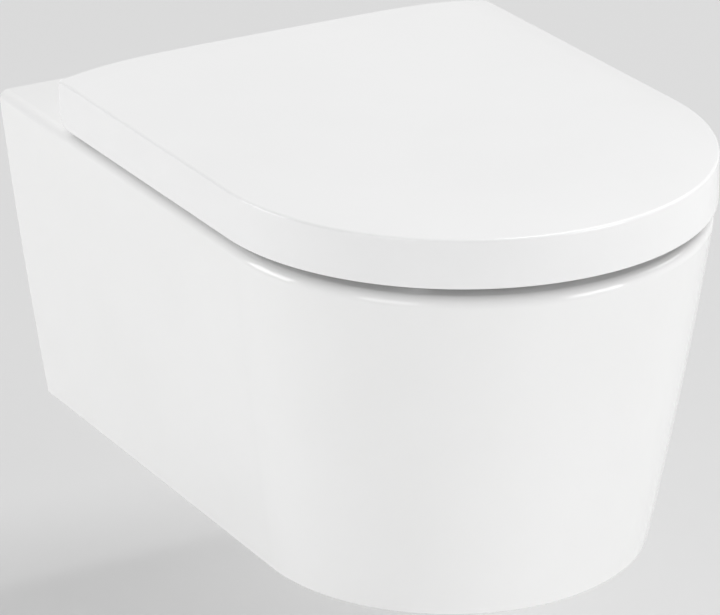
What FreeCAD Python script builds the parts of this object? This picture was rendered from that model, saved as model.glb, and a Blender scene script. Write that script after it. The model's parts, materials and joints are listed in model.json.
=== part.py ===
import FreeCAD, Part
import math
import os

# A wall hung toilet: a glazed ceramic pan on hidden wall fixings, with a seat ring and a
# wrap-over lid on soft-closing, lift-off hinges. Millimetres. The origin lies in the wall
# plane, midway between the two fixing studs. +Y points into the wall, -Y to the front,
# +Z up and +X to the right as seen from the front.

# Pan, outer shape
pan_projection = 542.0       # wall to the front of the deck
pan_deck_width = 353.0
pan_base_width = 286.0
pan_base_setback = 46.0      # the front of the base lies this far behind the front of the deck
pan_height = 253.0
deck_above_studs = 80.0
side_bow = 0.2               # 0 is a straight batter; more leaves the sides steeper near the deck
deck_edge_radius = 8.0
base_edge_radius = 3.0
pan_wall = 10.0
deck_thickness = 14.0
base_thickness = 10.0

# Bowl
bowl_width = 230.0
bowl_rear = 205.0            # wall to the rear edge of the bowl's mouth
bowl_front_rim = 52.0        # front edge of the bowl's mouth to the front of the deck
sump_ahead_of_trap = 7.5     # middle of the bowl's floor to the start of the trap
sump_dip = 1.5               # the bowl's floor lies this far below the trap's floor
# each ring's share of the bowl's depth, of its mouth's width and length, and of its shift to the rear
bowl_rings = [(0.0, 1.0, 1.0, 0.0), (0.17, 0.97, 0.97, 0.02), (0.42, 0.80, 0.81, 0.20),
              (0.66, 0.54, 0.55, 0.50), (0.87, 0.33, 0.31, 0.81), (1.0, 0.23, 0.20, 1.0)]
bowl_wall = 10.0
rim_edge_radius = 4.0

# Waterways
trap_bore = 50.0
trap_floor_below_deck = 239.0
water_level_below_deck = 140.0
trap_wall = 9.0
trap_rise_from_wall = 186.0
trap_bend_radius = 42.0
weir_bend_radius = 40.0
outlet_outside = 102.0
outlet_bore = 84.0
outlet_horn_length = 60.0
outlet_wall = 8.0
outlet_below_studs = 100.0
inlet_bore = 55.0
inlet_above_studs = 35.0
inlet_socket_depth = 60.0
flush_channel_bore = 48.0
flush_wall = 8.5
horn_setback = 2.0           # both horns end this far in front of the wall plane

# Wall fixings
stud_spacing = 180.0
stud_bore = 12.2
web_thickness = 14.0
web_below_studs = 34.0
web_hole = 28.0
fixing_clearance = 0.3
bush_wall = 3.7
bush_flange = 38.0
bush_flange_thickness = 3.0
sleeve_length = 60.0
sleeve_hex_length = 8.0
collar_size = 36.0
collar_thickness = 24.0
collar_corner = 3.0
clamp_screw_size = 8.0
clamp_screw_length = 30.0
clamp_screw_head = 13.0
clamp_screw_head_height = 6.0
thread_clearance = 0.05
access_hole = 18.0
cap_flange = 24.0
cap_flange_thickness = 1.5
cap_wall = 1.5
cap_depth = 9.0

# Lid
lid_width = 360.0
lid_front_overhang = 0.3     # the lid's top edge stands this far ahead of the deck's front
lid_rear_from_wall = 108.7
lid_gap = 7.5                # deck to the lower edge of the skirt
skirt_depth = 33.8
skirt_flare = 0.4
skirt_thickness = 4.0
lid_thickness = 4.5
notch_margin = 1.5           # free space beside a hinge block in the lid's rear wall
notch_headroom = 5.0         # free space above the block, where the lid passes its button
crown_rise = 8.4
crown_power = 5.1
hinge_radius = 16.0          # the skirt's lower rear corner turns about the hinge axis

# Seat ring
seat_above_deck = 7.0
seat_thickness = 22.0
seat_side_gap = 3.7          # inside of the skirt to the ring
seat_rear_gap = 14.0         # hinge axis to the rear edge of the ring
seat_hole_width = 214.0
seat_hole_rear = 222.0       # wall to the rear edge of the ring's opening
seat_front_rim = 52.6        # width of the ring at its front
seat_edge_radius = 6.0

# Buffers
seat_buffer_width = 16.0
seat_buffer_length = 34.0
seat_buffer_corner = 7.0
lid_buffer_diameter = 16.0
buffer_rear_spread = 284.0
buffer_rear_from_wall = 236.0
buffer_front_spread = 200.0
buffer_front_setback = 72.0  # front of the deck to the middle of the front buffers

# Hinges
hinge_spacing = 155.0
block_width = 24.0
block_radius = 10.5
barrel_radius = 11.0
barrel_end_wall = 3.0
barrel_gap = 0.5             # side play between a barrel and its hinge block
pin_diameter = 7.0
pin_grip = 10.0              # length of a pin in the hinge block
pin_reach = 35.0             # length of a plain pin in its barrel
pin_end_gap = 0.5            # free space past the end of a pin
running_clearance = 0.06
damper_diameter = 16.0
damper_length = 34.5
damper_shaft_depth = 12.0
gasket_thickness = 1.0
gasket_inset = 0.5
plate_thickness = 3.0
plate_width = 34.0
plate_front = 21.0           # hinge axis to the front edge of the base plate
plate_rear = 10.5
plate_corner = 4.0
peg_diameter = 11.6
peg_height = 10.5
socket_clearance = 0.3
hinge_bolt = 5.0
hinge_bolt_head = 8.4
hinge_bolt_head_height = 3.0
hinge_bolt_key = 4.2         # across the flats of its hexagon socket
hinge_bolt_key_depth = 2.0
hinge_bolt_tail = 2.0        # past the nut
deck_hole = 16.0
plug_length = 34.0
plug_nut_height = 6.0
plug_nut_size = 10.0
button_width = 19.4
button_height = 6.4
button_thickness = 3.0
button_proud = 1.0
button_travel = 1.5
button_end_gap = 0.2         # between a pressed button and the floor of its pocket
button_clearance = 0.3
button_corner = 1.9
button_above_plate = 5.5
spring_spacing = 17.0
spring_diameter = 2.2
spring_wire = 0.4
spring_turns = 6
spring_hole = 3.2
spring_hole_depth = 4.0

# Places worked out from the sizes above
deck_z = deck_above_studs
base_z = deck_z - pan_height
stud_x = stud_spacing / 2
hinge_x = hinge_spacing / 2
lid_low_z = deck_z + lid_gap
crease_z = lid_low_z + skirt_depth
lid_rear_y = -lid_rear_from_wall
lid_arc_y = -(pan_projection + lid_front_overhang - lid_width / 2)
axis_y = lid_rear_y - hinge_radius
axis_z = lid_low_z + hinge_radius
seat_low_z = deck_z + seat_above_deck
seat_top_z = seat_low_z + seat_thickness
seat_rear_y = axis_y - seat_rear_gap
seat_half_width = lid_width / 2 - skirt_thickness - seat_side_gap
seat_front_y = lid_arc_y - seat_half_width
bowl_length = pan_projection - bowl_front_rim - bowl_rear
plate_low_z = deck_z + gasket_thickness
plate_top_z = plate_low_z + plate_thickness
outlet_z = -outlet_below_studs
trap_z = deck_z - trap_floor_below_deck + trap_bore / 2
weir_z = deck_z - water_level_below_deck + trap_bore / 2
pin_radius = pin_diameter / 2
block_edge = block_width / 2 + barrel_gap
X_AXIS = FreeCAD.Vector(1, 0, 0)
Y_AXIS = FreeCAD.Vector(0, 1, 0)
Z_AXIS = FreeCAD.Vector(0, 0, 1)
PAST = 20.0                  # how far a cutting tool runs past the face that it cuts
NEAR = 0.01                  # how closely an edge has to match its place to be picked


# ---------------------------------------------------------------- shared shapes

def point(x, y, z):
    return FreeCAD.Vector(x, y, z)


def box(x, y, z):
    """A box from three (low, high) pairs."""
    size = [high - low for low, high in (x, y, z)]
    return Part.makeBox(*size, point(x[0], y[0], z[0]))


def rod(radius, start, end):
    """A round bar between two points."""
    along = end.sub(start)
    return Part.makeCylinder(radius, along.Length, start, along)


def tube(outer, inner, start, end):
    """A round tube between two points."""
    return rod(outer, start, end).cut(rod(inner, start, end))


def hexagon_bar(across_flats, start, end):
    """A hexagonal bar between two points, with two of its flats facing along X."""
    along = end.sub(start)
    reach = across_flats / math.sqrt(3)
    turn = FreeCAD.Rotation(Z_AXIS, along)
    angles = [math.radians(30 + 60 * side) for side in range(7)]
    corners = [point(reach * math.cos(a), reach * math.sin(a), 0) for a in angles]
    placed = [start.add(turn.multVec(corner)) for corner in corners]
    return Part.Face(Part.makePolygon(placed)).extrude(along)


def both_sides(shape):
    """A shape and its mirror image across the middle plane, as one group of solids."""
    return Part.makeCompound([shape, mirrored(shape)])


def mirrored(shape):
    return shape.mirror(point(0, 0, 0), X_AXIS)


def d_outline(half_width, arc_y, rear_y, z):
    """A D: a half circle in front, straight sides and a straight rear edge."""
    rear_left = point(-half_width, rear_y, z)
    left = point(-half_width, arc_y, z)
    front = point(0, arc_y - half_width, z)
    right = point(half_width, arc_y, z)
    rear_right = point(half_width, rear_y, z)
    arc = Part.Arc(left, front, right).toShape()
    edges = [Part.makeLine(rear_left, left), arc, Part.makeLine(right, rear_right)]
    return Part.Wire(edges + [Part.makeLine(rear_right, rear_left)])


def oval(half_width, half_length, centre_y, z):
    """An ellipse that lies level."""
    stretch = FreeCAD.Matrix()
    stretch.scale(half_width, half_length, 1)
    stretch.move(point(0, centre_y, z))
    return Part.Wire(Part.makeCircle(1)).transformGeometry(stretch)


def edges_at(shape, z, rear_y):
    """The edges that lie level at z, in front of the rear edge."""
    level = [e for e in shape.Edges if abs(e.BoundBox.ZMin - z) < NEAR and e.BoundBox.ZLength < 2 * NEAR]
    return [e for e in level if e.BoundBox.YMin < rear_y - NEAR]


def edges_along(shape, axis, length):
    """The straight edges of a box that run along one axis ("X", "Y" or "Z")."""
    direction = {"X": X_AXIS, "Y": Y_AXIS, "Z": Z_AXIS}[axis]
    found = []
    for edge in shape.Edges:
        run = edge.Vertexes[-1].Point.sub(edge.Vertexes[0].Point)
        if abs(abs(run.dot(direction)) - length) < NEAR and abs(run.Length - length) < NEAR:
            found.append(edge)
    return found


# ---------------------------------------------------------------- pan

def batter(z):
    """The share of the pan's taper that is reached at a height: 0 at the deck, 1 at the base."""
    drop = (deck_z - z) / pan_height
    return drop * (1 - side_bow) + side_bow * drop * drop


def pan_section(z, inset, rear_y):
    """The pan's outline at a height, drawn in by a wall."""
    half_width = pan_deck_width / 2 - (pan_deck_width - pan_base_width) / 2 * batter(z)
    front = pan_projection - pan_base_setback * batter(z)
    return d_outline(half_width - inset, half_width - front, rear_y, z)


def pan_block(low, high, inset):
    """The pan's outer shape, drawn in by a wall, between two heights and in front of the wall plane."""
    steps = 4
    levels = [low + (high - low) * step / steps for step in range(steps + 1)]
    return Part.makeLoft([pan_section(z, inset, PAST) for z in levels], True, False)


def pan_outside():
    block = pan_block(base_z, deck_z, 0)
    behind = box((-pan_deck_width, pan_deck_width), (0, 3 * PAST), (base_z - PAST, deck_z + PAST))
    block = block.cut(behind)
    block = block.makeFillet(deck_edge_radius, edges_at(block, deck_z, 0))
    return block.makeFillet(base_edge_radius, edges_at(block, base_z, 0))


def bowl_ring(shares, grow):
    """One ring of the bowl, grown outward by a wall."""
    down, wide, long, shift = shares
    mouth_y = -(bowl_rear + bowl_length / 2)
    sump_shift = trap_start_y() - sump_ahead_of_trap - mouth_y
    half_width = bowl_width / 2 * wide + grow
    half_length = bowl_length / 2 * long + grow
    depth = (trap_floor_below_deck + sump_dip) * down
    return oval(half_width, half_length, mouth_y + sump_shift * shift, deck_z - depth)


def bowl_shape(grow):
    """The bowl from its mouth down to the sump, grown outward by a wall."""
    return Part.makeLoft([bowl_ring(shares, grow) for shares in bowl_rings], True, False)


def bowl_foot():
    """The solid ceramic between the bowl's floor and the base."""
    floor = Part.Face(bowl_ring(bowl_rings[-1], bowl_wall))
    return floor.extrude(point(0, 0, base_z - floor.BoundBox.ZMin))


def block_with_bowl():
    """The outer shape with the bowl sunk in it and the bowl's mouth rounded."""
    block = pan_outside().cut(bowl_shape(0))
    mouth = [e for e in edges_at(block, deck_z, 0) if e.Closed]
    return block.makeFillet(rim_edge_radius, mouth)


def trap_start_y():
    return -trap_rise_from_wall - 2 * trap_bend_radius


def trap_path():
    """The trap's centre line: back from the sump, up the rising leg and over the weir."""
    rise_y = -trap_rise_from_wall
    bend_y = rise_y - trap_bend_radius
    sump = point(0, trap_start_y(), trap_z)
    low = point(0, bend_y, trap_z)
    half = math.sqrt(0.5)
    low_mid = point(0, bend_y + trap_bend_radius * half, trap_z + trap_bend_radius * (1 - half))
    up = point(0, rise_y, trap_z + trap_bend_radius)
    over_z = weir_z - weir_bend_radius
    over = point(0, rise_y, over_z)
    top = point(0, rise_y + weir_bend_radius, weir_z)
    down = point(0, rise_y + 2 * weir_bend_radius, over_z)
    end = point(0, down.y, outlet_z)
    edges = [Part.makeLine(sump, low), Part.Arc(low, low_mid, up).toShape(), Part.makeLine(up, over)]
    return Part.Wire(edges + [Part.Arc(over, top, down).toShape(), Part.makeLine(down, end)])


def trap(radius):
    path = trap_path()
    start = path.OrderedVertexes[0].Point
    ring = Part.Wire(Part.makeCircle(radius, start, Y_AXIS))
    return path.makePipeShell([ring], True, False)


def outlet(radius, end_wall, past):
    """The waste outlet from below the weir to its horn."""
    front_y = -trap_rise_from_wall + 2 * weir_bend_radius - trap_bore / 2
    return rod(radius, point(0, front_y - end_wall, outlet_z), point(0, past - horn_setback, outlet_z))


def outlet_horn():
    """The outlet's rear end, which the waste pipe's seal grips."""
    start = point(0, -horn_setback - outlet_horn_length, outlet_z)
    return rod(outlet_outside / 2, start, point(0, -horn_setback, outlet_z))


def flush_way(socket_radius, channel_radius, past):
    """The flush inlet's socket and the channel from it to the back of the bowl."""
    mouth = point(0, past - horn_setback, inlet_above_studs)
    step = point(0, -horn_setback - inlet_socket_depth, inlet_above_studs)
    end = point(0, -bowl_rear - 2 * bowl_wall, inlet_above_studs)
    return rod(socket_radius, mouth, step).fuse(rod(channel_radius, step, end))


def fixing_web():
    """The plate behind the deck that the wall fixings hold."""
    half = pan_deck_width / 2
    return box((-half, half), (-web_thickness, 0), (-web_below_studs, deck_z - deck_thickness / 2))


def ceramic_pan():
    walls = bowl_shape(bowl_wall).fuse([
        bowl_foot(),
        trap(trap_bore / 2 + trap_wall),
        outlet(outlet_bore / 2 + outlet_wall, outlet_wall, 0),
        outlet_horn(),
        flush_way(inlet_bore / 2 + flush_wall, inlet_bore / 2 + flush_wall, 0),
        fixing_web(),
    ])
    hollow = pan_block(base_z + base_thickness, deck_z - deck_thickness, pan_wall)
    pan = block_with_bowl().cut([
        hollow.cut(walls),
        trap(trap_bore / 2),
        outlet(outlet_bore / 2, 0, PAST),
        flush_way(inlet_bore / 2, flush_channel_bore / 2, PAST),
    ])
    for side in (-1, 1):
        stud = rod(web_hole / 2, point(side * stud_x, -web_thickness - PAST, 0),
                   point(side * stud_x, PAST, 0))
        hinge = rod(deck_hole / 2, point(side * hinge_x, axis_y, deck_z - deck_thickness - PAST),
                    point(side * hinge_x, axis_y, deck_z + PAST))
        access = rod(access_hole / 2, point(side * stud_x, collar_y(), base_z - PAST),
                     point(side * stud_x, collar_y(), base_z + base_thickness + PAST))
        pan = pan.cut([stud, hinge, access])
    return pan.Solids[0]


# ---------------------------------------------------------------- wall fixings

def collar_y():
    """The middle of the locking collar, where its clamp screw stands."""
    return -web_thickness - bush_flange_thickness - collar_thickness / 2


def bush_inside():
    return web_hole / 2 - fixing_clearance - bush_wall


def fixing_bush(x):
    """A flanged plastic bush that keeps the steel off the ceramic."""
    outer = web_hole / 2 - fixing_clearance
    body = rod(outer, point(x, -fixing_clearance, 0), point(x, -web_thickness, 0))
    flange_end = point(x, -web_thickness - bush_flange_thickness, 0)
    flange = rod(bush_flange / 2, point(x, -web_thickness, 0), flange_end)
    return body.fuse(flange).cut(rod(bush_inside(), point(x, PAST, 0), flange_end))


def sleeve_radius():
    return bush_inside() - fixing_clearance


def fixing_sleeve(x):
    """The sleeve that screws onto the wall's stud and carries the pan."""
    neck = point(x, sleeve_hex_length - sleeve_length, 0)
    body = rod(sleeve_radius(), point(x, 0, 0), neck)
    across = sleeve_radius() * math.sqrt(3)
    end = point(x, -sleeve_length, 0)
    body = body.fuse(hexagon_bar(across, neck, end))
    return body.cut(rod(stud_bore / 2, point(x, PAST, 0), end)).removeSplitter()


def locking_collar(x):
    """The block that slides on the sleeve and pulls the pan to the wall."""
    half = collar_size / 2
    y = collar_y()
    thick = collar_thickness / 2
    block = box((x - half, x + half), (y - thick, y + thick), (-half, half))
    bore = rod(sleeve_radius() + fixing_clearance, point(x, y - PAST, 0), point(x, y + PAST, 0))
    thread = rod(clamp_screw_size / 2 + thread_clearance, point(x, y, -half - PAST), point(x, y, 0))
    upright = edges_along(block, "Y", collar_thickness)
    return block.makeFillet(collar_corner, upright).cut([bore, thread])


def clamp_screw(x):
    """The screw that locks the collar, turned from below through the base."""
    y = collar_y()
    tip = -sleeve_radius() - thread_clearance
    neck = tip - clamp_screw_length
    shank = rod(clamp_screw_size / 2, point(x, y, neck), point(x, y, tip))
    head = hexagon_bar(clamp_screw_head, point(x, y, neck - clamp_screw_head_height), point(x, y, neck))
    return shank.fuse(head)


def access_cap(x):
    """The plug that closes the access hole in the base."""
    y = collar_y()
    radius = access_hole / 2 - fixing_clearance
    low = base_z - cap_flange_thickness
    flange = rod(cap_flange / 2, point(x, y, low), point(x, y, base_z))
    top = point(x, y, base_z + cap_depth)
    return flange.fuse(tube(radius, radius - cap_wall, point(x, y, base_z), top))


# ---------------------------------------------------------------- lid

def crown(half_width, z):
    """The shallow dome of the lid: level in the middle and falling at the edge, all round the D."""
    steps = 10
    shares = [1 - (1 - step / steps) ** 1.6 for step in range(steps + 1)]
    rises = [crown_rise * (1 - share ** crown_power) for share in shares]
    right = [point(half_width * s, lid_arc_y, z + r) for s, r in zip(shares, rises)]
    curve = Part.BSplineCurve()
    slope = -crown_power * crown_rise / half_width
    curve.interpolate(right, InitialTangent=X_AXIS, FinalTangent=point(1, 0, slope))
    arch = curve.toShape()
    centre = point(0, lid_arc_y, z)
    edge = point(half_width, lid_arc_y, z)
    half = Part.Face(Part.Wire([arch, Part.makeLine(edge, centre), Part.makeLine(centre, right[0])]))
    front = half.revolve(centre, Z_AXIS, -180)
    back = half.extrude(point(0, lid_rear_y - lid_arc_y, 0))
    return front.fuse([back, mirrored(back)])


def lid_outside():
    low = d_outline(lid_width / 2 + skirt_flare, lid_arc_y, lid_rear_y, lid_low_z)
    high = d_outline(lid_width / 2, lid_arc_y, lid_rear_y, crease_z)
    skirt = Part.makeLoft([low, high], True, True)
    corner = [e for e in skirt.Edges if abs(e.BoundBox.ZMax - lid_low_z) < NEAR
              and abs(e.BoundBox.YMin - lid_rear_y) < NEAR]
    skirt = skirt.makeFillet(hinge_radius - NEAR, corner)
    return skirt.fuse(crown(lid_width / 2, crease_z)).removeSplitter()


def lid_hollow():
    """The space under the lid."""
    inside = lid_width / 2 - skirt_thickness
    rear_y = lid_rear_y - skirt_thickness
    top_z = crease_z - lid_thickness
    low = d_outline(inside + skirt_flare, lid_arc_y, rear_y, lid_low_z)
    high = d_outline(inside, lid_arc_y, rear_y, top_z)
    skirt = Part.makeLoft([low, high], True, True)
    below = d_outline(inside + skirt_flare, lid_arc_y, rear_y, lid_low_z - PAST)
    mouth = Part.Face(below).extrude(point(0, 0, PAST))
    dome = crown(inside, top_z)
    behind = box((-lid_width, lid_width), (rear_y, lid_rear_y + PAST), (lid_low_z - PAST, crease_z + PAST))
    return skirt.fuse([mouth, dome.cut(behind)]).removeSplitter()


def barrel_length():
    """Long enough for a pin or a damper, with a closed end."""
    return max(pin_reach, damper_length) + pin_end_gap + barrel_end_wall


def barrel(start_x, end_x):
    """A hinge barrel about the hinge axis."""
    return rod(barrel_radius, point(start_x, axis_y, axis_z), point(end_x, axis_y, axis_z))


def pivot_hole(start_x, end_x):
    return rod(pin_radius + running_clearance, point(start_x, axis_y, axis_z), point(end_x, axis_y, axis_z))


def damper_hole(start_x, end_x):
    radius = damper_diameter / 2 + running_clearance
    return rod(radius, point(start_x, axis_y, axis_z), point(end_x, axis_y, axis_z))


def inner_barrel_span():
    """From the hinge block to the middle of the lid: where the lid's barrel lies."""
    start = hinge_x - block_edge
    return start, start - barrel_length()


def outer_barrel_span():
    """From the hinge block outward: where the seat's barrel lies."""
    start = hinge_x + block_edge
    return start, start + barrel_length()


def lid_shell():
    outside = lid_outside()
    shell = outside.cut(lid_hollow())
    near, far = inner_barrel_span()
    rib = box((far, near), (axis_y - barrel_radius, axis_y + barrel_radius),
              (axis_z, crease_z + crown_rise))
    lug = barrel(near, far).fuse(rib).common(outside)
    beside = block_edge + notch_margin
    notch = box((hinge_x - beside, hinge_x + beside),
                (lid_rear_y - skirt_thickness - notch_margin, lid_rear_y + PAST),
                (lid_low_z - PAST, axis_z + block_radius + notch_headroom))
    shell = shell.cut([notch, mirrored(notch)]).fuse([lug, mirrored(lug)])
    damper_end = near - damper_length - pin_end_gap
    pin_end = near - pin_reach - pin_end_gap
    holes = [damper_hole(near + PAST, damper_end), pivot_hole(-near - PAST, -pin_end)]
    return shell.cut(holes).removeSplitter()


# ---------------------------------------------------------------- seat

def seat_hole(low, high):
    front_y = seat_front_y + seat_front_rim
    half_length = (-seat_hole_rear - front_y) / 2
    ring = oval(seat_hole_width / 2, half_length, front_y + half_length, low)
    return Part.Face(ring).extrude(point(0, 0, high - low))


def seat_ring():
    outline = d_outline(seat_half_width, lid_arc_y, seat_rear_y, seat_low_z)
    ring = Part.Face(outline).extrude(point(0, 0, seat_thickness))
    ring = ring.cut(seat_hole(seat_low_z - PAST, seat_top_z + PAST))
    ring = ring.makeFillet(seat_edge_radius, edges_at(ring, seat_top_z, seat_rear_y))
    near, far = outer_barrel_span()
    arm_low = axis_z - barrel_radius / 2
    arm = box((near, far), (seat_rear_y - seat_edge_radius, axis_y), (arm_low, seat_top_z))
    lug = barrel(near, far).fuse(arm)
    ring = ring.fuse([lug, mirrored(lug)])
    damper_end = near + damper_length + pin_end_gap
    pin_end = near + pin_reach + pin_end_gap
    holes = [pivot_hole(near - PAST, pin_end), damper_hole(-near + PAST, -damper_end)]
    return ring.cut(holes).removeSplitter()


def buffer_places():
    """The four buffer places, as (x, y)."""
    rear = (buffer_rear_spread / 2, -buffer_rear_from_wall)
    front = (buffer_front_spread / 2, -pan_projection + buffer_front_setback)
    return [(side * x, y) for x, y in (rear, front) for side in (-1, 1)]


def seat_buffer(x, y):
    """A rubber foot under the ring."""
    wide = seat_buffer_width / 2
    long = seat_buffer_length / 2
    foot = box((x - wide, x + wide), (y - long, y + long), (deck_z, seat_low_z))
    return foot.makeFillet(seat_buffer_corner, edges_along(foot, "Z", seat_above_deck))


def seat_buffers():
    return Part.makeCompound([seat_buffer(x, y) for x, y in buffer_places()])


def lid_buffers():
    """Rubber stops between the ring and the inside of the lid."""
    space = lid_hollow()
    stops = []
    for x, y in buffer_places():
        stop = rod(lid_buffer_diameter / 2, point(x, y, seat_top_z), point(x, y, crease_z + crown_rise))
        stops.append(stop.common(space).Solids[0])
    return Part.makeCompound(stops)


# ---------------------------------------------------------------- hinges

def plate_outline(x, inset, low, high):
    """A hinge base's outline, with rounded upright corners."""
    half = plate_width / 2 - inset
    front = axis_y - plate_front + inset
    rear = axis_y + plate_rear - inset
    plate = box((x - half, x + half), (front, rear), (low, high))
    return plate.makeFillet(plate_corner, edges_along(plate, "Z", high - low))


def hinge_gasket(x):
    gasket = plate_outline(x, gasket_inset, deck_z, plate_low_z)
    return gasket.cut(bolt_hole(x, deck_z - PAST, plate_top_z))


def bolt_hole(x, low, high):
    radius = hinge_bolt / 2 + fixing_clearance
    return rod(radius, point(x, axis_y, low), point(x, axis_y, high))


def hinge_base(x):
    """The plate on the deck, with the peg that the hinge block sits on."""
    plate = plate_outline(x, 0, plate_low_z, plate_top_z)
    top = point(x, axis_y, plate_top_z + peg_height)
    peg = rod(peg_diameter / 2, point(x, axis_y, plate_low_z), top)
    seat_z = plate_top_z + peg_height - hinge_bolt_head_height
    recess = rod(hinge_bolt_head / 2 + fixing_clearance, point(x, axis_y, seat_z), top)
    return plate.fuse(peg).cut([recess, bolt_hole(x, deck_z - PAST, top.z)]).removeSplitter()


def plug_low_z():
    return deck_z - plug_length


def hinge_screw(x):
    """The bolt through the peg, the deck and the expansion plug."""
    head_low = plate_top_z + peg_height - hinge_bolt_head_height
    top = plate_top_z + peg_height
    tail = plug_low_z() - plug_nut_height - hinge_bolt_tail
    shank = rod(hinge_bolt / 2, point(x, axis_y, tail), point(x, axis_y, head_low))
    head = rod(hinge_bolt_head / 2, point(x, axis_y, head_low), point(x, axis_y, top))
    key_floor = point(x, axis_y, top - hinge_bolt_key_depth)
    return shank.fuse(head).cut(hexagon_bar(hinge_bolt_key, key_floor, point(x, axis_y, top + PAST)))


def expansion_plug(x):
    """The rubber plug that swells under the deck when the bolt is tightened."""
    radius = deck_hole / 2 - fixing_clearance
    plug = rod(radius, point(x, axis_y, plug_low_z()), point(x, axis_y, deck_z))
    return plug.cut(bolt_hole(x, plug_low_z(), deck_z))


def plug_nut(x):
    low = plug_low_z() - plug_nut_height
    nut = hexagon_bar(plug_nut_size, point(x, axis_y, low), point(x, axis_y, plug_low_z()))
    thread = hinge_bolt / 2 + thread_clearance
    return nut.cut(rod(thread, point(x, axis_y, low), point(x, axis_y, plug_low_z())))


def button_z():
    return plate_top_z + button_above_plate


def block_rear_y():
    return axis_y + block_radius


def button_inner_y():
    return block_rear_y() + button_proud - button_thickness


def pocket_floor_y():
    return button_inner_y() - button_travel - button_end_gap


def hinge_block(x):
    """The block that carries the pins: it drops over the peg and is held by its button."""
    half = block_width / 2
    stem = box((x - half, x + half), (axis_y - block_radius, block_rear_y()), (plate_top_z, axis_z))
    block = stem.fuse(rod(block_radius, point(x - half, axis_y, axis_z), point(x + half, axis_y, axis_z)))
    socket_top = plate_top_z + peg_height + socket_clearance
    socket = rod(peg_diameter / 2 + socket_clearance, point(x, axis_y, plate_top_z),
                 point(x, axis_y, socket_top))
    wide = button_width / 2 + button_clearance
    tall = button_height / 2 + button_clearance
    pocket = box((x - wide, x + wide), (pocket_floor_y(), block_rear_y() + PAST),
                 (button_z() - tall, button_z() + tall))
    cuts = [socket, pocket]
    for side in (-1, 1):
        outer = point(x + side * (half + PAST), axis_y, axis_z)
        pin_floor = point(x + side * (half - pin_grip - pin_end_gap), axis_y, axis_z)
        cuts.append(rod(pin_radius + thread_clearance, pin_floor, outer))
        spring_x = x + side * spring_spacing / 2
        floor = point(spring_x, pocket_floor_y() - spring_hole_depth, button_z())
        cuts.append(rod(spring_hole / 2, floor, point(spring_x, block_rear_y(), button_z())))
    return block.cut(cuts).removeSplitter()


def release_button(x):
    wide = button_width / 2
    tall = button_height / 2
    inner = button_inner_y()
    button = box((x - wide, x + wide), (inner, inner + button_thickness),
                 (button_z() - tall, button_z() + tall))
    return button.makeFillet(button_corner, edges_along(button, "Y", button_thickness))


def button_spring(x):
    """The pair of small coils behind a button."""
    return Part.makeCompound([coil(x + side * spring_spacing / 2) for side in (-1, 1)])


def coil(x):
    """One open coil along Y, from the floor of its hole to the button."""
    start_y = pocket_floor_y() - spring_hole_depth + spring_wire
    length = button_inner_y() - spring_wire - start_y
    helix = Part.makeHelix(length / spring_turns, length, spring_diameter / 2)
    ring = Part.Wire(Part.makeCircle(spring_wire / 2, point(spring_diameter / 2, 0, 0), Y_AXIS))
    spring = Part.Wire(helix.Edges).makePipeShell([ring], True, True)
    spring.rotate(point(0, 0, 0), X_AXIS, -90)
    spring.translate(point(x, start_y, button_z()))
    return spring


def pivot_pin(block_face_x, barrel_depth, side):
    """A plain pin, held in the hinge block and running in a barrel. side is +1 toward +X."""
    start = block_face_x - side * pin_grip
    end = block_face_x + side * (barrel_gap + barrel_depth)
    return rod(pin_radius, point(start, axis_y, axis_z), point(end, axis_y, axis_z))


def damper_body(start_x, side):
    """A rotary damper's housing, which turns with its barrel. side is +1 toward +X."""
    end = start_x + side * damper_length
    body = rod(damper_diameter / 2, point(start_x, axis_y, axis_z), point(end, axis_y, axis_z))
    hole_end = start_x + side * (damper_shaft_depth + pin_end_gap)
    return body.cut(pivot_hole(start_x - side * PAST, hole_end))


def damper_shaft(block_face_x, side):
    """A damper's shaft, held in the hinge block."""
    return pivot_pin(block_face_x, damper_shaft_depth, side)


# ---------------------------------------------------------------- output

def nodes():
    half = block_width / 2
    inner_face = hinge_x - half
    outer_face = hinge_x + half
    parts = {
        "ceramic_pan": ceramic_pan(),
        "clamp_screws": both_sides(clamp_screw(stud_x)),
        "access_caps": both_sides(access_cap(stud_x)),
        "hinge_gaskets": both_sides(hinge_gasket(hinge_x)),
        "hinge_screws": both_sides(hinge_screw(hinge_x)),
        "plug_nuts": both_sides(plug_nut(hinge_x)),
        "lid": lid_shell(),
        "lid_buffers": lid_buffers(),
        "seat_ring": seat_ring(),
        "seat_buffers": seat_buffers(),
        "seat_pivot_pin": pivot_pin(outer_face, pin_reach, 1),
        "seat_damper_shaft": damper_shaft(-outer_face, -1),
        "seat_damper_body": damper_body(-hinge_x - block_edge, -1),
        "lid_pivot_pin": pivot_pin(-inner_face, pin_reach, 1),
        "lid_damper_shaft": damper_shaft(inner_face, -1),
        "lid_damper_body": damper_body(hinge_x - block_edge, -1),
    }
    for name, side in (("left", -1), ("right", 1)):
        parts["fixing_bush_" + name] = fixing_bush(side * stud_x)
        parts["fixing_sleeve_" + name] = fixing_sleeve(side * stud_x)
        parts["locking_collar_" + name] = locking_collar(side * stud_x)
        parts["expansion_plug_" + name] = expansion_plug(side * hinge_x)
        parts["hinge_base_" + name] = hinge_base(side * hinge_x)
        parts["hinge_block_" + name] = hinge_block(side * hinge_x)
        parts["release_button_" + name] = release_button(side * hinge_x)
        parts["button_spring_" + name] = button_spring(side * hinge_x)
    return parts


def main():
    os.makedirs("parts", exist_ok=True)
    for name, shape in nodes().items():
        print(name, len(shape.Solids), "solids", round(shape.Volume), "mm3, valid", shape.isValid())
        shape.exportStep("parts/" + name + ".step")


main()
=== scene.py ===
import bpy
import bmesh
import json
import math
from mathutils import Matrix, Vector


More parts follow.
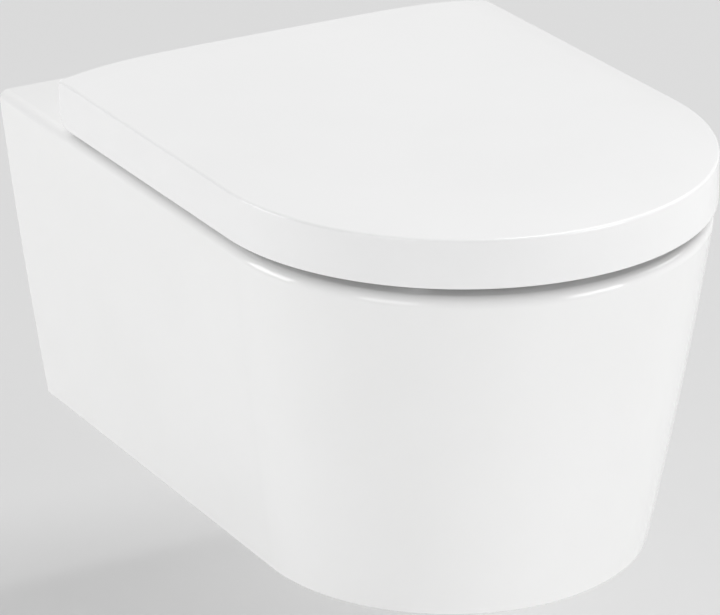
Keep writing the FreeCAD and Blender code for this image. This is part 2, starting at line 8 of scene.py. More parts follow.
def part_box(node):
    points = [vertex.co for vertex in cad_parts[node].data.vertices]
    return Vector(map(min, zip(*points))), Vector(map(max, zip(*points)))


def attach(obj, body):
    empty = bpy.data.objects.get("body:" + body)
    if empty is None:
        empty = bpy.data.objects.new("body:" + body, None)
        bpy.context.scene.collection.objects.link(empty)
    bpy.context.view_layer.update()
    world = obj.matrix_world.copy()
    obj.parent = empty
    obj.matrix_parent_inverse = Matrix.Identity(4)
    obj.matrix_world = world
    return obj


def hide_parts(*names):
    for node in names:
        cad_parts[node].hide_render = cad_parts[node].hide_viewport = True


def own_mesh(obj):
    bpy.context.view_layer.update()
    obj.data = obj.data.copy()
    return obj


# The looks of a wall hung toilet: glazed pan, wrap-over lid, seat ring and hinges.
# Shapes are written in millimetres in the frame's axes and scaled once, in new_mesh:
# +Y into the wall, -Y to the front, +Z up.

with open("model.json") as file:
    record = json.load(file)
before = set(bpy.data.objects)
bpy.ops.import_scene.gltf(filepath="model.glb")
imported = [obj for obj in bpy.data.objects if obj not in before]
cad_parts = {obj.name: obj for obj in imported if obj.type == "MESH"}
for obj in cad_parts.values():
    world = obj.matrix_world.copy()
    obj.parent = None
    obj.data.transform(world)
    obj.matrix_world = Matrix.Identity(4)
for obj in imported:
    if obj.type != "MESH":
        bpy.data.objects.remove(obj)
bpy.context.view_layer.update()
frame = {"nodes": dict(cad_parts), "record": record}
DENSE = 2          # points along curves

# Pan
PAN_FRONT = 542.0
PAN_HALF = 176.5
BASE_HALF = 143.0
BASE_SETBACK = 46.0
DECK_Z = 80.0
BASE_Z = -173.0
SIDE_BOW = 0.2
DECK_RADIUS = 8.0
BASE_RADIUS = 3.0
REAR_EDGE = 1.2
PAN_WALL = 10.0
DECK_THICK = 14.0
BASE_THICK = 10.0
MOUTH_HALF_WIDTH = 115.0
MOUTH_HALF_LENGTH = 142.5
MOUTH_Y = -347.5
RIM_RADIUS = 4.0
BOWL_DEPTH = 240.5
BOWL_WALL = 10.0
SUMP_SHIFT = 70.0
SUMP_RADIUS = 9.0
# share of the depth, of the mouth's width and length, and of the sump's shift
BOWL_TABLE = [(0.0, 1.0, 1.0, 0.0), (0.17, 0.97, 0.97, 0.02), (0.42, 0.80, 0.81, 0.20),
              (0.66, 0.54, 0.55, 0.50), (0.87, 0.33, 0.31, 0.81), (1.0, 0.23, 0.20, 1.0)]
HINGE_X = 77.5
STUD_X = 90.0
WEB_THICK = 14.0
WEB_LOW_Z = -34.0

# Waterways
TRAP_START_Y = -270.0
TRAP_TURN_Y = -228.0                    # the trap turns up from here
TRAP_LOW_Z = -134.0
TRAP_BEND = 42.0
TRAP_RADIUS = (34.0, 25.0)              # outside and bore
WEIR_Y = -146.0
WEIR_Z = -75.0
WEIR_BEND = 40.0
TRAP_END = (-106.0, -100.0)
OUTLET_Z = -100.0
INLET_Z = 35.0
HORN_Y = -2.0
# name, radius, height, front end, rear end, softened edge
PIPE_WALLS = [("outlet wall", 50.0, OUTLET_Z, -139.0, HORN_Y, 2.0),
              ("outlet horn", 51.0, OUTLET_Z, -62.0, HORN_Y, 2.0),
              ("inlet wall", 36.0, INLET_Z, -98.0, HORN_Y, 2.0),
              ("channel wall", 36.0, INLET_Z, -225.0, -90.0, 0.0)]
PIPE_BORES = [("outlet bore", 42.0, OUTLET_Z, -131.0, 18.0, 0.0),
              ("inlet bore", 27.5, INLET_Z, -62.0, 18.0, 0.0),
              ("flush channel", 24.0, INLET_Z, -225.0, -50.0, 0.0)]

# Lid and seat ring
LID_HALF = 180.0
LID_ARC_Y = -362.3
LID_REAR_Y = -108.7
LID_LOW_Z = 87.5
CREASE_Z = 122.0
SKIRT_FLARE = 0.4
SKIRT_THICK = 4.0
CROWN = (7.7, 4.9)                      # rise and power of the outside
INSIDE_CROWN = (8.4, 5.1)
INSIDE_TOP_Z = 116.8
CREASE_RADIUS = 1.7
EDGE_RADIUS = 1.2
LID_CORNER = 0.9
HINGE_RADIUS = 16.0
AXIS_Y = -124.7
AXIS_Z = 103.5
BARREL_RADIUS = 11.0
BARREL_EDGE = 0.8
DAMPER_BORE = 8.06                      # radii
PIN_BORE = 3.56
LID_BARREL = (26.5, 65.0)               # ends, from the middle
SEAT_BARREL = (90.0, 128.5)
NOTCH_HALF = 14.0
NOTCH_DEPTH = 5.5
NOTCH_TOP_Z = 119.0
RING_HALF = 172.3
RING_REAR_Y = -138.7
RING_LOW_Z = 87.0
RING_TOP_Z = 109.0
RING_HOLE = (107.0, 130.0, -352.0)      # half width, half length, middle
RING_CORNER = 8.0
RING_EDGES = (2.0, 6.0)                 # radii below and above

# Release buttons
SPRING_WIRE = 0.4
SPRING_TURNS = 6
SPRING_SPACING = 17.0
SLOTS = {part["node"]: part["material_slot"] for part in frame["record"]["subparts"]}


# ---------------------------------------------------------------- mesh helpers

def new_mesh(name, points, faces):
    """A closed mesh object from points in millimetres, with its normals outward."""
    mesh = bpy.data.meshes.new(name)
    mesh.from_pydata([Vector(p) * 0.001 for p in points], [], faces)
    piece = bpy.data.objects.new(name, mesh)
    bpy.context.scene.collection.objects.link(piece)
    edit(piece, lambda bm: None)
    return piece


def edit(piece, change):
    """Change a piece's mesh, then merge double points and turn the normals outward."""
    bm = bmesh.new()
    bm.from_mesh(piece.data)
    change(bm)
    bmesh.ops.remove_doubles(bm, verts=bm.verts, dist=2e-6)
    bmesh.ops.recalc_face_normals(bm, faces=bm.faces)
    bm.to_mesh(piece.data)
    bm.free()


def skin(name, loops, cap_end=True, ring=False):
    """A mesh through closed loops of as many points each. A ring joins its last loop to its first."""
    count = len(loops[0])
    points = [p for loop in loops for p in loop]
    faces = []
    rows = len(loops) if ring else len(loops) - 1
    for row in range(rows):
        here, above = row * count, ((row + 1) % len(loops)) * count
        for i in range(count):
            j = (i + 1) % count
            faces.append((here + i, here + j, above + j, above + i))
    if not ring:
        faces.append(tuple(range(count)))
    if cap_end and not ring:
        start = (len(loops) - 1) * count
        faces.append(tuple(range(start, start + count)))
    return new_mesh(name, points, faces)


def block(name, x, y, z):
    """A box from three (low, high) pairs."""
    low = [(x[0], y[0]), (x[1], y[0]), (x[1], y[1]), (x[0], y[1])]
    return skin(name, [[(a, b, level) for a, b in low] for level in z])


def bar(name, radius, start, end, edge=0.0, count=48):
    """A round bar between two points, with softened ends."""
    start, end = Vector(start), Vector(end)
    along = (end - start).normalized()
    side = along.orthogonal().normalized()
    other = along.cross(side)
    stations = [(start, radius)]
    if edge:
        bends = [math.radians(a) for a in (0, 30, 60, 90)]
        stations = [(start + along * edge * (1 - math.cos(a)), radius - edge * (1 - math.sin(a)))
                    for a in bends]
        stations += [(end - along * edge * (1 - math.cos(a)), radius - edge * (1 - math.sin(a)))
                     for a in bends[::-1]]
    else:
        stations.append((end, radius))
    turns = [2 * math.pi * i / count for i in range(count)]
    loops = [[tuple(at + side * r * math.cos(t) + other * r * math.sin(t)) for t in turns]
             for at, r in stations]
    return skin(name, loops)


def carve(piece, tools, operation="DIFFERENCE"):
    """Cut tools out of a piece, or join them to it, and delete them."""
    for tool in tools:
        cut = piece.modifiers.new(tool.name, "BOOLEAN")
        cut.operation = operation
        cut.solver = "MANIFOLD"
        cut.object = tool
    graph = bpy.context.evaluated_depsgraph_get()
    carved = bpy.data.meshes.new_from_object(piece.evaluated_get(graph))
    piece.modifiers.clear()
    old = piece.data
    piece.data = carved
    carved.name = piece.name
    bpy.data.meshes.remove(old)
    for tool in tools:
        mesh = tool.data
        bpy.data.objects.remove(tool)
        bpy.data.meshes.remove(mesh)
    return piece


def soften(piece, radius, steps, angle=40.0):
    """Round a piece's sharp edges."""
    def change(bm):
        bm.normal_update()
        limit = math.radians(angle)
        sharp = [e for e in bm.edges if len(e.link_faces) == 2 and e.calc_face_angle(0) > limit]
        bmesh.ops.bevel(bm, geom=sharp, offset=radius * 0.001, offset_type="OFFSET",
                        segments=steps, profile=0.5, affect="EDGES", clamp_overlap=True)
    edit(piece, change)


def shade(piece, angle=35.0):
    """Smooth shading with crisp edges where faces meet at an angle."""
    piece.data.shade_smooth()
    piece.data.set_sharp_from_angle(angle=math.radians(angle))
    weigh = piece.modifiers.new("even normals", "WEIGHTED_NORMAL")
    weigh.keep_sharp = True
    weigh.weight = 100


def spread(low, high, steps):
    return [low + (high - low) * i / steps for i in range(steps + 1)]


# ---------------------------------------------------------------- outlines

SIDE_STEPS = 10 * DENSE
ARC_STEPS = 60 * DENSE
REAR_STEPS = 10 * DENSE
CORNER_STEPS = 3 * DENSE


def d_loop(half, arc_y, rear_y, z, corner=0.0):
    """A D: from its left side's rear end round the front, and back along its rear edge."""
    start = rear_y - corner
    left = [(-half, start + (arc_y - start) * i / SIDE_STEPS, z) for i in range(SIDE_STEPS)]
    turns = [math.pi + math.pi * i / ARC_STEPS for i in range(ARC_STEPS + 1)]
    front = [(half * math.cos(t), arc_y + half * math.sin(t), z) for t in turns]
    right = [(-x, y, z) for x, y, z in left[::-1]]
    flat = max(half - corner, 0.0)
    rear = [(flat * (1 - 2 * i / REAR_STEPS), rear_y, z) for i in range(REAR_STEPS + 1)]
    bends = [math.pi / 2 * i / CORNER_STEPS for i in range(1, CORNER_STEPS)]
    right_corner = [(flat + (half - flat) * math.cos(b), start + corner * math.sin(b), z)
                    for b in bends]
    left_corner = [(-x, y, z) for x, y, z in right_corner[::-1]]
    return left + front + right + right_corner + rear + left_corner


def oval_turns(outline, ratio, centre_y):
    """The angles at which an oval's points face the points of an outline."""
    return [math.atan2((y - centre_y) / ratio, x) for x, y, z in outline]


def oval_loop(half_width, half_length, centre_y, z, turns):
    return [(half_width * math.cos(t), centre_y + half_length * math.sin(t), z) for t in turns]


def between(loop, other, share):
    return [tuple(Vector(p).lerp(Vector(q), share)) for p, q in zip(loop, other)]


# ---------------------------------------------------------------- pan

def taper(z):
    drop = (DECK_Z - z) / (DECK_Z - BASE_Z)
    return drop * (1 - SIDE_BOW) + SIDE_BOW * drop * drop


def pan_loop(z, inset, rear_y=0.0):
    half = PAN_HALF - (PAN_HALF - BASE_HALF) * taper(z)
    front = PAN_FRONT - BASE_SETBACK * taper(z)
    return d_loop(half - inset, half - front, rear_y, z)


def table_value(depth, column):
    """A smooth curve through the bowl's table."""
    rows = BOWL_TABLE
    k = max(i for i in range(len(rows) - 1) if rows[i][0] <= depth)
    (x0, x1) = rows[k][0], rows[k + 1][0]
    (y0, y1) = rows[k][column], rows[k + 1][column]

    def slope(i):
        a, b = max(i - 1, 0), min(i + 1, len(rows) - 1)
        return (rows[b][column] - rows[a][column]) / (rows[b][0] - rows[a][0])
    h = x1 - x0
    t = (depth - x0) / h
    m0, m1 = slope(k) * h, slope(k + 1) * h
    return ((2 * t**3 - 3 * t**2 + 1) * y0 + (t**3 - 2 * t**2 + t) * m0
            + (3 * t**2 - 2 * t**3) * y1 + (t**3 - t**2) * m1)


def bowl_loop(z, grow, turns):
    depth = min(max((DECK_Z - z) / BOWL_DEPTH, 0.0), 1.0)
    width = MOUTH_HALF_WIDTH * table_value(depth, 1) + grow
    length = MOUTH_HALF_LENGTH * table_value(depth, 2) + grow
    return oval_loop(width, length, MOUTH_Y + SUMP_SHIFT * table_value(depth, 3), z, turns)


def pan_outer():
    """The pan's closed outer skin, with the bowl's surface as a deep dent in its deck."""
    arc = [math.radians(a) for a in spread(0, 90, 4 * DENSE)]
    loops = [pan_loop(BASE_Z + BASE_RADIUS * (1 - math.cos(a)), BASE_RADIUS * (1 - math.sin(a)))
             for a in arc]
    loops += [pan_loop(z, 0.0)
              for z in spread(BASE_Z + BASE_RADIUS, DECK_Z - DECK_RADIUS, 8 * DENSE)[1:-1]]
    arc = [math.radians(a) for a in spread(0, 90, 6 * DENSE)]
    loops += [pan_loop(DECK_Z - DECK_RADIUS * (1 - math.sin(a)), DECK_RADIUS * (1 - math.cos(a)))
              for a in arc]
    deck = loops[-1]
    turns = oval_turns(deck, MOUTH_HALF_LENGTH / MOUTH_HALF_WIDTH, MOUTH_Y)
    rim = bowl_loop(DECK_Z, RIM_RADIUS, turns)
    loops += [between(deck, rim, share) for share in (0.25, 0.5, 0.75)]
    loops += [bowl_loop(DECK_Z - RIM_RADIUS * (1 - math.cos(a)), RIM_RADIUS * (1 - math.sin(a)), turns)
              for a in arc]
    floor_z = DECK_Z - BOWL_DEPTH
    loops += [bowl_loop(z, 0.0, turns)
              for z in spread(DECK_Z - RIM_RADIUS, floor_z + SUMP_RADIUS, 18 * DENSE)[1:-1]]
    loops += [bowl_loop(floor_z + SUMP_RADIUS * (1 - math.sin(a)), -SUMP_RADIUS * (1 - math.cos(a)), turns)
              for a in arc]
    return skin("pan_look", loops)


def bowl_wall():
    """The bowl's wall, grown outward."""
    turns = [2 * math.pi * i / 96 for i in range(96)]
    floor_z = DECK_Z - BOWL_DEPTH
    loops = [bowl_loop(z, BOWL_WALL, turns) for z in spread(floor_z, DECK_Z - 2, 24)]
    foot = [(x, y, floor_z - BOWL_WALL) for x, y, z in loops[0]]
    return skin("bowl wall", [foot] + loops)


def trap_tube(name, radius):
    """The trap: back from the sump, up the rising leg, over the weir and down to the outlet."""
    line = [(TRAP_START_Y, TRAP_LOW_Z)]
    line += [(TRAP_TURN_Y + TRAP_BEND * math.sin(a), TRAP_LOW_Z + TRAP_BEND * (1 - math.cos(a)))
             for a in [math.radians(d) for d in spread(0, 90, 12)]]
    line += [(WEIR_Y - WEIR_BEND * math.cos(a), WEIR_Z + WEIR_BEND * math.sin(a))
             for a in [math.radians(d) for d in spread(0, 180, 24)]]
    line += [TRAP_END]
    turns = [2 * math.pi * k / 48 for k in range(48)]
    loops = []
    for i, (y, z) in enumerate(line):
        y0, z0 = line[max(i - 1, 0)]
        y1, z1 = line[min(i + 1, len(line) - 1)]
        along = Vector((0.0, y1 - y0, z1 - z0)).normalized()
        up = along.cross(Vector((1.0, 0.0, 0.0)))
        loops.append([tuple(Vector((radius * math.cos(t), y, z)) + up * radius * math.sin(t))
                      for t in turns])
    return skin(name, loops)


def pipe(name, radius, z, front_y, rear_y, edge):
    return bar(name, radius, (0.0, front_y, z), (0.0, rear_y, z), edge, 96)


def pan_piece():
    pan = pan_outer()
    soften(pan, REAR_EDGE, 3)
    hollow = skin("hollow", [pan_loop(z, PAN_WALL, 20.0)
                             for z in spread(BASE_Z + BASE_THICK, DECK_Z - DECK_THICK, 4)])
    web = block("web", (-PAN_HALF, PAN_HALF), (-WEB_THICK, 0.0),
                (WEB_LOW_Z, DECK_Z - DECK_THICK / 2))
    carve(hollow, [bowl_wall(), trap_tube("trap wall", TRAP_RADIUS[0]), web]
          + [pipe(*row) for row in PIPE_WALLS])
    tools = [hollow, trap_tube("trap", TRAP_RADIUS[1])] + [pipe(*row) for row in PIPE_BORES]
    for side in (-1, 1):
        stud_x, hinge_x = side * STUD_X, side * HINGE_X
        for name, radius, start, end in (("stud hole", 14.0, (stud_x, -34, 0), (stud_x, 20, 0)),
                                         ("hinge hole", 8.0, (hinge_x, AXIS_Y, 46), (hinge_x, AXIS_Y, 100)),
                                         ("access hole", 9.0, (stud_x, -29, -193), (stud_x, -29, -143))):
            tools.append(bar(name, radius, start, end, 0.0, 64))
    carve(pan, tools)
    shade(pan)
    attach(pan, "pan")
    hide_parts("ceramic_pan")
    return pan


# ---------------------------------------------------------------- hinge barrels

def on_axis(name, radius, start_x, end_x, edge=0.0, count=48):
    """A bar along the hinge axis."""
    return bar(name, radius, (start_x, AXIS_Y, AXIS_Z), (end_x, AXIS_Y, AXIS_Z), edge, count)


def barrels(name, ends, y, z):
    """The two barrels of the lid or seat, and the ribs that hold them."""
    lugs = []
    for side in (-1, 1):
        x = sorted((side * ends[0], side * ends[1]))
        lugs.append(on_axis(name + " barrel", BARREL_RADIUS, x[0], x[1], BARREL_EDGE, 64))
        lugs.append(block(name + " rib", (x[0] + BARREL_EDGE, x[1] - BARREL_EDGE), y, z))
    return lugs


# ---------------------------------------------------------------- lid

def skirt_half(z):
    return LID_HALF + SKIRT_FLARE * (CREASE_Z - z) / (CREASE_Z - LID_LOW_Z)


def crown_z(share, base_z, crown):
    rise, power = crown
    return base_z + rise * (1 - min(share, 1.0) ** power)


def rounding(drop, radius):
    """How far a rounded edge stands in, at a drop below its top."""
    left = max(radius - drop, 0.0)
    return radius - math.sqrt(radius * radius - left * left)


def crown_loop(share, drop):
    """One loop of the lid's outside from the crease up, with the rear edge rounded."""
    z = crown_z(share, CREASE_Z, CROWN) - drop
    loop = d_loop(LID_HALF * share, LID_ARC_Y, LID_REAR_Y, z, min(LID_CORNER, LID_HALF * share))
    behind = LID_REAR_Y - LID_CORNER - 0.001
    out = []
    for x, y, z in loop:
        under = crown_z(abs(x) / LID_HALF, CREASE_Z, CROWN) - z
        out.append((x, y - rounding(under, CREASE_RADIUS) * (y > behind), z))
    return out


def lid_outer():
    """The lid's outside: skirt, crown and the rear corner that turns about the hinge axis."""
    loops = []
    for bend in [math.radians(a) for a in spread(0, 90, 3 * DENSE)]:
        z = LID_LOW_Z + EDGE_RADIUS * (1 - math.cos(bend))
        inset = EDGE_RADIUS * (1 - math.sin(bend))
        rear_y = AXIS_Y + math.sqrt(HINGE_RADIUS**2 - (AXIS_Z - z) ** 2) - inset
        loops.append(d_loop(skirt_half(z) - inset, LID_ARC_Y, rear_y, z, LID_CORNER))
    first = math.degrees(math.acos((HINGE_RADIUS - EDGE_RADIUS) / HINGE_RADIUS))
    for bend in [math.radians(a) for a in spread(first, 90, 7 * DENSE)[1:]]:
        z = AXIS_Z - HINGE_RADIUS * math.cos(bend)
        rear_y = AXIS_Y + HINGE_RADIUS * math.sin(bend)
        loops.append(d_loop(skirt_half(z), LID_ARC_Y, rear_y, z, LID_CORNER))
    for z in spread(AXIS_Z, CREASE_Z - CREASE_RADIUS, 4)[1:-1]:
        loops.append(d_loop(skirt_half(z), LID_ARC_Y, LID_REAR_Y, z, LID_CORNER))
    for bend in [math.radians(a) for a in spread(0, 90, 4 * DENSE)]:
        share = 1 - CREASE_RADIUS * (1 - math.cos(bend)) / LID_HALF
        loops.append(crown_loop(share, CREASE_RADIUS * (1 - math.sin(bend))))
    top = 1 - CREASE_RADIUS / LID_HALF
    loops += [crown_loop(top * (1 - t ** 1.6), 0.0) for t in spread(0, 1, 14 * DENSE)[1:]]
    return skin("lid_look", loops, cap_end=False)


def lid_hollow():
    rear = LID_REAR_Y - SKIRT_THICK
    half = LID_HALF - SKIRT_THICK
    loops = [d_loop(skirt_half(z) - SKIRT_THICK + 1.2 * (z < LID_LOW_Z), LID_ARC_Y, rear, z)
             for z in (LID_LOW_Z - 20, LID_LOW_Z - 0.1, LID_LOW_Z + 1.1, LID_LOW_Z + 12)]
    shares = [1 - t ** 1.6 for t in spread(0, 1, 8 * DENSE)]
    loops += [d_loop(half * share, LID_ARC_Y, rear, crown_z(share, INSIDE_TOP_Z, INSIDE_CROWN))
              for share in shares]
    return skin("lid hollow", loops, cap_end=False)


def lid_piece():
    lid = lid_outer()
    tools = [lid_hollow()]
    for side in (-1, 1):
        x = sorted((side * (HINGE_X - NOTCH_HALF), side * (HINGE_X + NOTCH_HALF)))
        tools.append(block("notch", x, (LID_REAR_Y - NOTCH_DEPTH, LID_REAR_Y + 20),
                           (LID_LOW_Z - 20, NOTCH_TOP_Z)))
    carve(lid, tools)
    carve(lid, barrels("lid", LID_BARREL, (AXIS_Y - BARREL_RADIUS, AXIS_Y + BARREL_RADIUS),
                       (AXIS_Z, CREASE_Z + 6.0)), "UNION")
    carve(lid, [on_axis("damper hole", DAMPER_BORE, 85.0, 30.0, 0.0, 64),
                on_axis("pin hole", PIN_BORE, -85.0, -29.5)])
    shade(lid)
    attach(lid, "lid")
    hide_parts("lid")
    return lid


# ---------------------------------------------------------------- seat ring

def ring_piece():
    outline = d_loop(RING_HALF, LID_ARC_Y, RING_REAR_Y, 0, RING_CORNER)
    width, length, middle = RING_HOLE
    turns = oval_turns(outline, length / width, middle)

    def outer(inset, z):
        return d_loop(RING_HALF - inset, LID_ARC_Y, RING_REAR_Y - inset, z, RING_CORNER - inset)

    def inner(grow, z):
        return oval_loop(width + grow, length + grow, middle, z, turns)
    small, large = RING_EDGES
    bends = [math.radians(a) for a in spread(0, 90, 3 * DENSE)]
    loops = [outer(small * (1 - math.sin(a)), RING_LOW_Z + small * (1 - math.cos(a))) for a in bends]
    loops += [outer(large * (1 - math.cos(a)), RING_TOP_Z - large * (1 - math.sin(a))) for a in bends]
    loops += [between(loops[-1], inner(large, RING_TOP_Z), share) for share in (0.33, 0.67)]
    loops += [inner(large * (1 - math.sin(a)), RING_TOP_Z - large * (1 - math.cos(a))) for a in bends]
    loops += [inner(small * (1 - math.cos(a)), RING_LOW_Z + small * (1 - math.sin(a))) for a in bends]
    ring = skin("seat_ring_look", loops, ring=True)
    carve(ring, barrels("seat", SEAT_BARREL, (RING_REAR_Y - 8.0, AXIS_Y),
                        (AXIS_Z - BARREL_RADIUS / 2, RING_TOP_Z)), "UNION")
    carve(ring, [on_axis("pin hole", PIN_BORE, 70.0, 125.5),
                 on_axis("damper hole", DAMPER_BORE, -70.0, -125.0, 0.0, 64)])
    shade(ring)
    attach(ring, "seat")
    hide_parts("seat_ring")
    return ring


# ---------------------------------------------------------------- button springs

def spring_piece(side_name):
    """The two coils behind a release button, the second a copy beside the first."""
    node = "button_spring_" + side_name
    low, high = [Vector(corner) * 1000 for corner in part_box(node)]
    radius = (high.z - low.z) / 2 - SPRING_WIRE / 2
    middle = low.x + radius + SPRING_WIRE / 2
    centre_z = (low.z + high.z) / 2
    length = high.y - low.y
    steps = SPRING_TURNS * 12 * DENSE
    loops = []
    for i in range(steps + 1):
        turn = 2 * math.pi * SPRING_TURNS * i / steps
        out = Vector((math.cos(turn), 0.0, math.sin(turn)))
        y = low.y + SPRING_WIRE / 2 + (length - SPRING_WIRE) * i / steps
        at = Vector((middle, y, centre_z)) + out * radius
        loops.append([tuple(at + (out * math.cos(t) + Vector((0, 1, 0)) * math.sin(t)) * SPRING_WIRE / 2)
                      for t in [2 * math.pi * k / 8 for k in range(8)]])
    spring = skin(node + "_look", loops)

    def add_twin(bm):
        twin = bmesh.ops.duplicate(bm, geom=bm.verts[:] + bm.edges[:] + bm.faces[:])["geom"]
        bmesh.ops.translate(bm, verts=[v for v in twin if isinstance(v, bmesh.types.BMVert)],
                            vec=(SPRING_SPACING * 0.001, 0.0, 0.0))
    edit(spring, add_twin)
    spring.data.shade_smooth()
    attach(spring, "seat_carrier")
    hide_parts(node)
    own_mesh(spring)
    return spring


# ---------------------------------------------------------------- materials

def noise(tree, position, scale, detail=2.0):
    node = tree.nodes.new("ShaderNodeTexNoise")
    node.inputs["Scale"].default_value = scale
    node.inputs["Detail"].default_value = detail
    tree.links.new(position, node.inputs["Vector"])
    return node.outputs["Fac"]


def ranged(tree, value, low, high):
    """Spread a 0 to 1 value between two limits."""
    node = tree.nodes.new("ShaderNodeMapRange")
    node.inputs["From Min"].default_value = 0.3
    node.inputs["From Max"].default_value = 0.7
    node.inputs["To Min"].default_value = low
    node.inputs["To Max"].default_value = high
    tree.links.new(value, node.inputs["Value"])
    return node.outputs["Result"]


def tone(tree, value, dark, light):
    ramp = tree.nodes.new("ShaderNodeValToRGB")
    ramp.color_ramp.elements[0].color = (*dark, 1.0)
    ramp.color_ramp.elements[0].position = 0.3
    ramp.color_ramp.elements[1].color = (*light, 1.0)
    ramp.color_ramp.elements[1].position = 0.7
    tree.links.new(value, ramp.inputs["Fac"])
    return ramp.outputs["Color"]


def finish(name, dark, light, rough, scale, bump, bump_scale, metallic=0.0, ior=1.5):
    """A finish with slight changes of tone and gloss and a fine relief, all in object space."""
    material = bpy.data.materials.new(name)
    material.use_nodes = True
    tree = material.node_tree
    shader = tree.nodes["Principled BSDF"]
    shader.inputs["Metallic"].default_value = metallic
    shader.inputs["IOR"].default_value = ior
    position = tree.nodes.new("ShaderNodeTexCoord").outputs["Object"]
    broad = noise(tree, position, scale)
    tree.links.new(tone(tree, broad, dark, light), shader.inputs["Base Color"])
    gloss = noise(tree, position, scale * 3.1, 3.0)
    tree.links.new(ranged(tree, gloss, rough[0], rough[1]), shader.inputs["Roughness"])
    relief = tree.nodes.new("ShaderNodeBump")
    relief.inputs["Strength"].default_value = 1.0
    relief.inputs["Distance"].default_value = bump
    tree.links.new(noise(tree, position, bump_scale, 2.0), relief.inputs["Height"])
    tree.links.new(relief.outputs["Normal"], shader.inputs["Normal"])
    return material


def grey(value, warm=0.0):
    return (value, value, value - warm)


# dark and light tone, range of roughness, scale of the tones, depth and scale of the relief
FINISHES = {
    "glaze": finish("glaze", grey(0.865, 0.004), grey(0.88, 0.002), (0.07, 0.11), 9.0, 0.00004,
                    60.0, ior=1.52),
    "seat_white": finish("seat resin", grey(0.87), grey(0.88), (0.10, 0.14), 12.0, 0.00002, 160.0),
    "cap_white": finish("cap resin", grey(0.86), grey(0.88), (0.18, 0.24), 20.0, 0.00003, 200.0),
    "buffer": finish("buffer rubber", grey(0.60), grey(0.68), (0.50, 0.65), 60.0, 0.00008, 900.0),
    "plug_rubber": finish("black rubber", grey(0.020), grey(0.040), (0.55, 0.70), 60.0, 0.0001, 900.0),
    "steel": finish("steel", grey(0.58), grey(0.68), (0.22, 0.34), 90.0, 0.00003, 1200.0, 1.0),
    "zinc": finish("zinc", (0.60, 0.62, 0.64), (0.72, 0.73, 0.72), (0.28, 0.42), 70.0, 0.00005, 700.0, 1.0),
    "brass": finish("brass", (0.66, 0.48, 0.20), (0.78, 0.60, 0.30), (0.22, 0.34), 80.0, 0.00003, 900.0, 1.0),
    "chrome": finish("chrome", grey(0.76), grey(0.82), (0.05, 0.10), 40.0, 0.00001, 300.0, 1.0),
    "damper": finish("damper resin", grey(0.10), grey(0.13), (0.40, 0.52), 70.0, 0.00006, 900.0),
    "button_grey": finish("button resin", grey(0.28), grey(0.32), (0.35, 0.45), 70.0, 0.00005, 900.0),
    "nylon": finish("nylon", grey(0.72, 0.02), grey(0.78, 0.02), (0.38, 0.50), 60.0, 0.00005, 800.0),
}


def dress_cad_nodes():
    """Each node of the frame gets its finish, by the record's slot."""
    for name, slot_name in SLOTS.items():
        for slot in frame["nodes"][name].material_slots:
            slot.material = FINISHES[slot_name]


# ---------------------------------------------------------------- camera

FOCAL_PIXELS = 4287.4          # for a picture 720 pixels wide
CAMERA_AZIMUTH = math.radians(-30.066)
CAMERA_ELEVATION = math.radians(22.667)
CAMERA_PLACE = Vector((-1.442702, -2.720968, 1.154212))


def add_camera():
    data = bpy.data.cameras.new("camera")
    data.sensor_width = 36.0
    data.lens = FOCAL_PIXELS / 720.0 * data.sensor_width
    data.clip_end = 50.0
    camera = bpy.data.objects.new("camera", data)
    bpy.context.scene.collection.objects.link(camera)
    sin_a, cos_a = math.sin(CAMERA_AZIMUTH), math.cos(CAMERA_AZIMUTH)
    sin_e, cos_e = math.sin(CAMERA_ELEVATION), math.cos(CAMERA_ELEVATION)
    back = Vector((sin_a * cos_e, -cos_a * cos_e, sin_e))
    right = Vector((cos_a, sin_a, 0.0))
    up = back.cross(right)
    turn = Matrix((right, up, back)).transposed().to_4x4()
    camera.matrix_world = Matrix.Translation(CAMERA_PLACE) @ turn
    bpy.context.scene.camera = camera


# ---------------------------------------------------------------- stage and light

FLOOR_Z = -0.32                # the deck stands 400 mm above the floor
FLOOR_LIT = 0.88               # the floor's tone as it passes light on
FLOOR_SEEN = (0.42, 0.27)      # its tone and its own level as seen and mirrored
WORLD_LIT = 0.38
WORLD_SEEN = 0.60


def by_ray(tree, lit, seen, output):
    """One shader for passing light on, and one where a ray comes from the camera, gloss or glass."""
    rays = tree.nodes.new("ShaderNodeLightPath")
    direct = rays.outputs["Is Camera Ray"]
    for kind in ("Is Glossy Ray", "Is Transmission Ray"):
        either = tree.nodes.new("ShaderNodeMath")
        either.operation = "MAXIMUM"
        tree.links.new(direct, either.inputs[0])
        tree.links.new(rays.outputs[kind], either.inputs[1])
        direct = either.outputs["Value"]
    mix = tree.nodes.new("ShaderNodeMixShader")
    tree.links.new(direct, mix.inputs["Fac"])
    tree.links.new(lit.outputs[0], mix.inputs[1])
    tree.links.new(seen.outputs[0], mix.inputs[2])
    tree.links.new(mix.outputs["Shader"], output.inputs["Surface"])


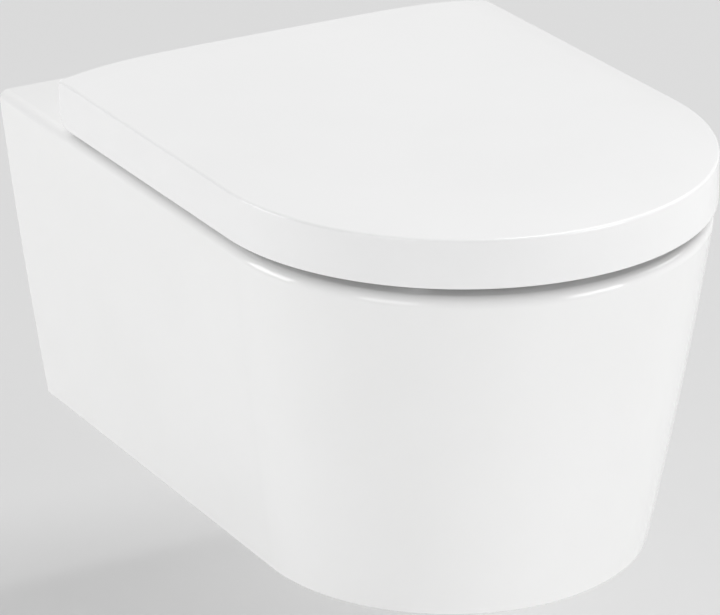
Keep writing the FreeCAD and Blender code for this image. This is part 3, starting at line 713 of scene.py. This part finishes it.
def add_stage():
    bpy.ops.mesh.primitive_plane_add(size=14.0, location=(0, 0, FLOOR_Z))
    floor = bpy.context.object
    floor.name = "floor"
    material = bpy.data.materials.new("floor")
    material.use_nodes = True
    tree = material.node_tree
    seen = tree.nodes["Principled BSDF"]
    tone_seen, level = FLOOR_SEEN
    seen.inputs["Base Color"].default_value = (tone_seen, tone_seen, tone_seen, 1)
    seen.inputs["Roughness"].default_value = 1.0
    seen.inputs["Specular IOR Level"].default_value = 0.0
    seen.inputs["Emission Color"].default_value = (1, 1, 1, 1)
    seen.inputs["Emission Strength"].default_value = level
    lit = tree.nodes.new("ShaderNodeBsdfDiffuse")
    lit.inputs["Color"].default_value = (FLOOR_LIT, FLOOR_LIT, FLOOR_LIT, 1)
    by_ray(tree, lit, seen, tree.nodes["Material Output"])
    floor.data.materials.append(material)


def add_world():
    world = bpy.data.worlds.new("world")
    bpy.context.scene.world = world
    world.use_nodes = True
    tree = world.node_tree
    lit = tree.nodes["Background"]
    seen = tree.nodes.new("ShaderNodeBackground")
    for shader, level in ((lit, WORLD_LIT), (seen, WORLD_SEEN)):
        shader.inputs["Color"].default_value = (1, 1, 1, 1)
        shader.inputs["Strength"].default_value = level
    by_ray(tree, lit, seen, tree.nodes["World Output"])


LAMP_DISTANCE = 4.8            # metres
LAMP_WIDTH = 2.2
# name, azimuth and elevation seen from the object (degrees), power (W)
SOFTBOXES = [
    ("rear_left", -120, 12, 64.0),
    ("front_left", -60, 12, 42.0),
    ("front_right", 30, 12, 70.0),
    ("behind", 180, 12, 40.0),
    ("right", 90, 42, 50.0),
    ("above_right", 90, 68, 90.0),
]
LIT_POINT = Vector((0.0, -0.27, 0.0))


def add_softboxes():
    for name, azimuth, elevation, power in SOFTBOXES:
        a, e = math.radians(azimuth), math.radians(elevation)
        away = Vector((math.sin(a) * math.cos(e), -math.cos(a) * math.cos(e), math.sin(e)))
        data = bpy.data.lights.new(name, "AREA")
        data.size = LAMP_WIDTH
        data.energy = power
        light = bpy.data.objects.new(name, data)
        light.visible_camera = False
        bpy.context.scene.collection.objects.link(light)
        turn = (-away).to_track_quat("-Z", "Y").to_matrix().to_4x4()
        light.matrix_world = Matrix.Translation(LIT_POINT + away * LAMP_DISTANCE) @ turn


dress_cad_nodes()
for piece, node_name in ((pan_piece(), "ceramic_pan"), (lid_piece(), "lid"), (ring_piece(), "seat_ring"),
                         (spring_piece("left"), "button_spring_left"),
                         (spring_piece("right"), "button_spring_right")):
    piece.data.materials.clear()
    piece.data.materials.append(FINISHES[SLOTS[node_name]])
add_camera()
add_stage()
add_world()
add_softboxes()

bpy.context.scene.view_settings.view_transform = "Standard"
